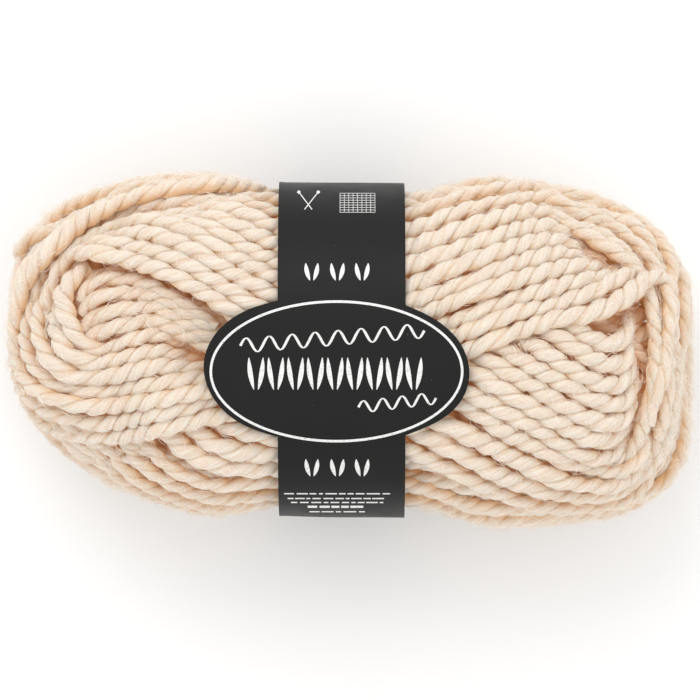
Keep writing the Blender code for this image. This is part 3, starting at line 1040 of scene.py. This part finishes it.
# coated black paper: a fine tooth, faint scuffs and a soft shine
def paperMaterial():
    material, look, net = newMaterial("blackPaper", 0.5, {"Specular IOR Level": 0.20})
    place = net.add("ShaderNodeUVMap", uv_map="paperMeasure").outputs["UV"]
    tooth = net.noise(place, 2600.0, 3.0)
    cloud = net.noise(place, 90.0, 3.0)
    wave = net.noise(place, 38.0, 1.0)
    speck = net.add("ShaderNodeTexVoronoi", {"Vector": place, "Scale": 420.0}).outputs["Distance"]
    colour = net.mix(cloud, paperFinish["ink"], paperFinish["worn"])
    dust = net.times(net.range(speck, 0.10, 0.03), net.range(tooth, 0.55, 0.75))
    colour = net.mix(net.times(dust, 0.5), colour, paperFinish["dust"])
    net.feed(look["Base Color"], colour)
    net.feed(look["Roughness"], net.range(cloud, 0.2, 0.8, paperFinish["smooth"], paperFinish["rough"]))
    shape = net.plus(net.times(tooth, 0.03), net.times(wave, 1.0))
    net.feed(look["Normal"], net.bump(shape, 0.5, 0.45 * mm))
    return material


# white ink, thin enough to let the paper's grain through here and there
def printMaterial():
    material, look, net = newMaterial("whiteInk", 0.5)
    place = net.add("ShaderNodeTexCoord").outputs["Object"]
    grain = net.noise(place, 3400.0, 2.0)
    colour = net.mix(net.range(grain, 0.30, 0.48), paperFinish["thinPrint"], paperFinish["print"])
    net.feed(look["Base Color"], colour)
    net.feed(look["Normal"], net.bump(grain, 0.15, 0.05 * mm))
    return material


hairs = {
    "perSquareMetre": 380000.0,
    "shortest": 1.6 * mm,
    "longest": 5.2 * mm,
    "width": 0.07 * mm,
    "spread": 0.75,
    "darker": (0.84, 0.73, 0.61, 1),
    "lighter": (0.94, 0.89, 0.83, 1),
    "paperMargin": 3.2 * mm,     # no hair starts nearer to the paper than this
}


# short loose hairs that lie along the plies and stand a little off them
def looseFibreTree():
    tree = newGeometryTree("looseFibres", {
        "Per Square Metre": hairs["perSquareMetre"], "Shortest": hairs["shortest"],
        "Longest": hairs["longest"], "Width": hairs["width"], "Spread": hairs["spread"],
        "Seed": 3, "Material": ""})
    net = treeWriter(tree)
    source = net.add("NodeGroupInput").outputs
    outer = net.add("FunctionNodeCompare", {"A": net.read("facing"), "B": 0.10},
                  data_type="FLOAT", operation="GREATER_THAN")
    spots = net.add("GeometryNodeDistributePointsOnFaces", {
        "Mesh": source["Geometry"], "Selection": outer.outputs["Result"],
        "Density": source["Per Square Metre"], "Seed": source["Seed"]})
    chances = [net.random(net.plus(source["Seed"], extra)) for extra in (1.0, 2.0, 3.0, 4.0)]
    spin, reach, arch, bow = chances

    # each hair lies near the ply's heading, on the face that it grows from
    upright = net.add("FunctionNodeAlignRotationToVector", {"Vector": spots.outputs["Normal"]}, axis="Z")
    laid = net.add("FunctionNodeAlignRotationToVector", {
        "Rotation": upright.outputs["Rotation"], "Vector": net.read("heading", "FLOAT_VECTOR")},
        axis="X", pivot_axis="Z")
    turned = net.times(net.minus(spin, 0.5), net.times(source["Spread"], 2.6))
    turned = net.minus(turned, 0.35)
    twist = net.add("FunctionNodeAxisAngleToRotation", {"Axis": (0.0, 0.0, 1.0), "Angle": turned})
    placed = net.add("FunctionNodeRotateRotation", {
        "Rotation": laid.outputs["Rotation"], "Rotate By": twist.outputs["Rotation"]},
        rotation_space="LOCAL").outputs["Rotation"]
    more = net.minus(source["Longest"], source["Shortest"])
    long = net.math("MULTIPLY_ADD", reach, more, source["Shortest"])
    lift = net.math("MULTIPLY_ADD", net.math("POWER", arch, 2.5), 1.1, 0.12)
    aside = net.times(long, net.minus(bow, 0.5))
    scale = net.join(long, aside, net.times(long, lift))
    hair = net.add("GeometryNodeCurveQuadraticBezier", {
        "Resolution": 4,
        "Start": (-0.5, 0.0, -0.10), "Middle": (0.0, 1.1, 0.52), "End": (0.5, 0.0, 0.06)})
    grown = net.add("GeometryNodeInstanceOnPoints", {
        "Points": spots.outputs["Points"], "Instance": hair.outputs["Curve"],
        "Rotation": placed, "Scale": scale}).outputs["Instances"]
    grown = net.shape("RealizeInstances", Geometry=grown)

    half = net.times(source["Width"], 0.5)
    edge = net.add("GeometryNodeCurvePrimitiveLine", {
        "Start": net.join(net.times(half, -1.0)), "End": net.join(half)}).outputs["Curve"]
    shape = net.add("GeometryNodeCurveToMesh", {"Curve": grown, "Profile Curve": edge}).outputs["Mesh"]
    net.finish(shape, source, ("facing", "heading", "groove", "around", "run", "buried"))
    return tree


def fibreMaterial():
    material, look, net = newMaterial("looseAcrylicHair", 0.55, {"Specular IOR Level": 0.4})
    place = net.add("ShaderNodeTexCoord").outputs["Object"]
    patch = net.noise(place, 700.0, 1.0)
    colour = net.mix(net.range(patch, 0.3, 0.7), hairs["darker"], hairs["lighter"])
    net.feed(look["Base Color"], colour)
    return material


# loose hairs over several strand pieces, as one mesh
def makeHair(name, strands, tree, material, seed):
    together = bmesh.new()
    for strand in strands:
        together.from_mesh(strand.data)
    middles = np.array([face.calc_center_median() for face in together.faces])
    covered = underPaper(middles, hairs["paperMargin"])
    hidden = [face for face, under in zip(together.faces, covered) if under]
    bmesh.ops.delete(together, geom=hidden, context="FACES")
    mesh = bpy.data.meshes.new(name + "Ground")
    together.to_mesh(mesh)
    together.free()
    ground = addObject(name + "Ground", mesh)
    return bakeTree(ground, tree, {"Material": material, "Seed": seed}, name)


core = {
    "depth": 14 * mm,            # under the form
    "lowest": 2.6 * mm,
    # dark and light: painted shade, the cream yarn's colours darkened to how the inner turns look in the
    # gaps
    "dark": (0.42, 0.19, 0.08, 1),
    "light": (0.66, 0.38, 0.20, 1),
    # glow: painted light given off by the inner turns, which are no lamp
    "glow": 0.16,
}


# the turns deep inside, in painted shade with a faint painted glow, seen only through the gaps
def coreMaterial():
    material, look, net = newMaterial("innerTurns", 0.9, {"Emission Strength": core["glow"]})
    place = net.add("ShaderNodeTexCoord").outputs["Object"]
    wave = net.add("ShaderNodeTexWave", {
        "Vector": place, "Scale": 75.0, "Distortion": 6.0, "Detail": 2.0}).outputs["Fac"]
    colour = net.mix(wave, core["dark"], core["light"])
    net.feed(look["Base Color"], colour)
    # painted glow: the same shade colours given off as emission
    net.feed(look["Emission Color"], colour)
    net.feed(look["Normal"], net.bump(wave, 0.8, 1.0 * mm))
    return material


# the inner turns as one lumpy body, well under the outer ones
def makeCore(material):
    shape = bmesh.new()
    bmesh.ops.create_uvsphere(shape, u_segments=96, v_segments=72, radius=1.0)
    unit = np.array([vertex.co.zxy for vertex in shape.verts])
    surface = onForm(fromBall(unit))
    places = surface - formNormals(surface) * core["depth"]
    for vertex, place in zip(shape.verts, places):
        vertex.co = (place[0], place[1], max(place[2], core["lowest"]))
    bmesh.ops.recalc_face_normals(shape, faces=shape.faces)
    mesh = bpy.data.meshes.new("innerTurns")
    shape.to_mesh(mesh)
    shape.free()
    mesh.materials.append(material)
    mesh.shade_smooth()
    return addObject("innerTurns", mesh)


studio = {
    "floorHalf": 3.0,
    "floor": {"Base Color": (0.93, 0.93, 0.93, 1), "Specular IOR Level": 0.1},
    "sky": (1.0, 1.0, 1.0, 1),
    "lamps": {
        "keyLamp": {"place": (-0.25, 0.75, 0.95), "size": 0.8, "power": 4.2},
        "fillLamp": {"place": (0.6, -0.5, 1.1), "size": 0.9, "power": 1.6},
    },
    "aim": (0, 0, 0.03),
    "cameraHeight": 1.25,
    "widthSeen": 171.0 * mm,
    "sensor": 36.0,
}


# a pale floor, soft light from above and from the far side, and a camera that looks straight down
def makeStage():
    half = studio["floorHalf"]
    mesh = bpy.data.meshes.new("studioFloor")
    corners = [(-half, -half, 0), (half, -half, 0), (half, half, 0), (-half, half, 0)]
    mesh.from_pydata(corners, [], [(0, 1, 2, 3)])
    mesh.materials.append(newMaterial("paleFloor", 0.9, studio["floor"])[0])
    addObject("studioFloor", mesh)

    world = bpy.data.worlds.new("studioWhite")
    world.use_nodes = True
    world.node_tree.nodes["Background"].inputs["Color"].default_value = studio["sky"]
    world.node_tree.nodes["Background"].inputs["Strength"].default_value = 1.0
    bpy.context.scene.world = world
    for name, lamp in studio["lamps"].items():
        light = bpy.data.lights.new(name, "AREA")
        light.size = lamp["size"]
        light.energy = lamp["power"]
        made = addObject(name, light)
        made.location = lamp["place"]
        made.rotation_euler = (Vector(studio["aim"]) - made.location).to_track_quat("-Z", "Y").to_euler()

    camera = bpy.data.cameras.new("topCamera")
    camera.sensor_width = studio["sensor"]
    camera.lens = studio["sensor"] * (studio["cameraHeight"] - form["axisHeight"]) / studio["widthSeen"]
    made = addObject("topCamera", camera)
    made.location = (0, 0, studio["cameraHeight"])
    bpy.context.scene.camera = made
    bpy.context.scene.view_settings.view_transform = "Standard"


print("stage: camera, lamps and floor")
makeStage()

print("stage: winding the turns")
skein = markHidden(windSkein())

print("stage: plying the strands")
fibres = fibreGroup()
creamYarn = yarnMaterial(fibres)
strandTree = pliedStrandTree()
pieces = []
for name in [bundle["name"] for bundle in bundles] + ["innerLayer"]:
    guide = strandGuide(name + "Guide", [turn for turn in skein if turn["bundle"] == name])
    strands = bakeTree(guide, strandTree, {"Material": creamYarn}, name)
    print("piece", name, "faces", len(strands.data.polygons))
    pieces.append(strands)
print("stage: loose fibres")
byName = {strands.name: strands for strands in pieces}
hairTree = looseFibreTree()
hairMaterial = fibreMaterial()
hairGroups = {
    "leftHair": [name for name in byName if "eft" in name or name == "lastTurn"],
    "rightHair": [name for name in byName if "ight" in name or name == "valleyTurn"],
}
for number, (name, ground) in enumerate(hairGroups.items()):
    hair = makeHair(name, [byName[part] for part in ground], hairTree, hairMaterial, 5 + 20 * number)
    print("piece", name, "faces", len(hair.data.polygons))
    pieces.append(hair)
pieces.append(makeCore(coreMaterial()))
for piece in pieces:
    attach(piece, "root")
    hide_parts("wound_yarn")

print("stage: paper band")
band = makeBand(paperMaterial())
labelPrint = makePrint(printMaterial())
for piece in (band, labelPrint):
    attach(piece, "root")
    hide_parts("paper_band")
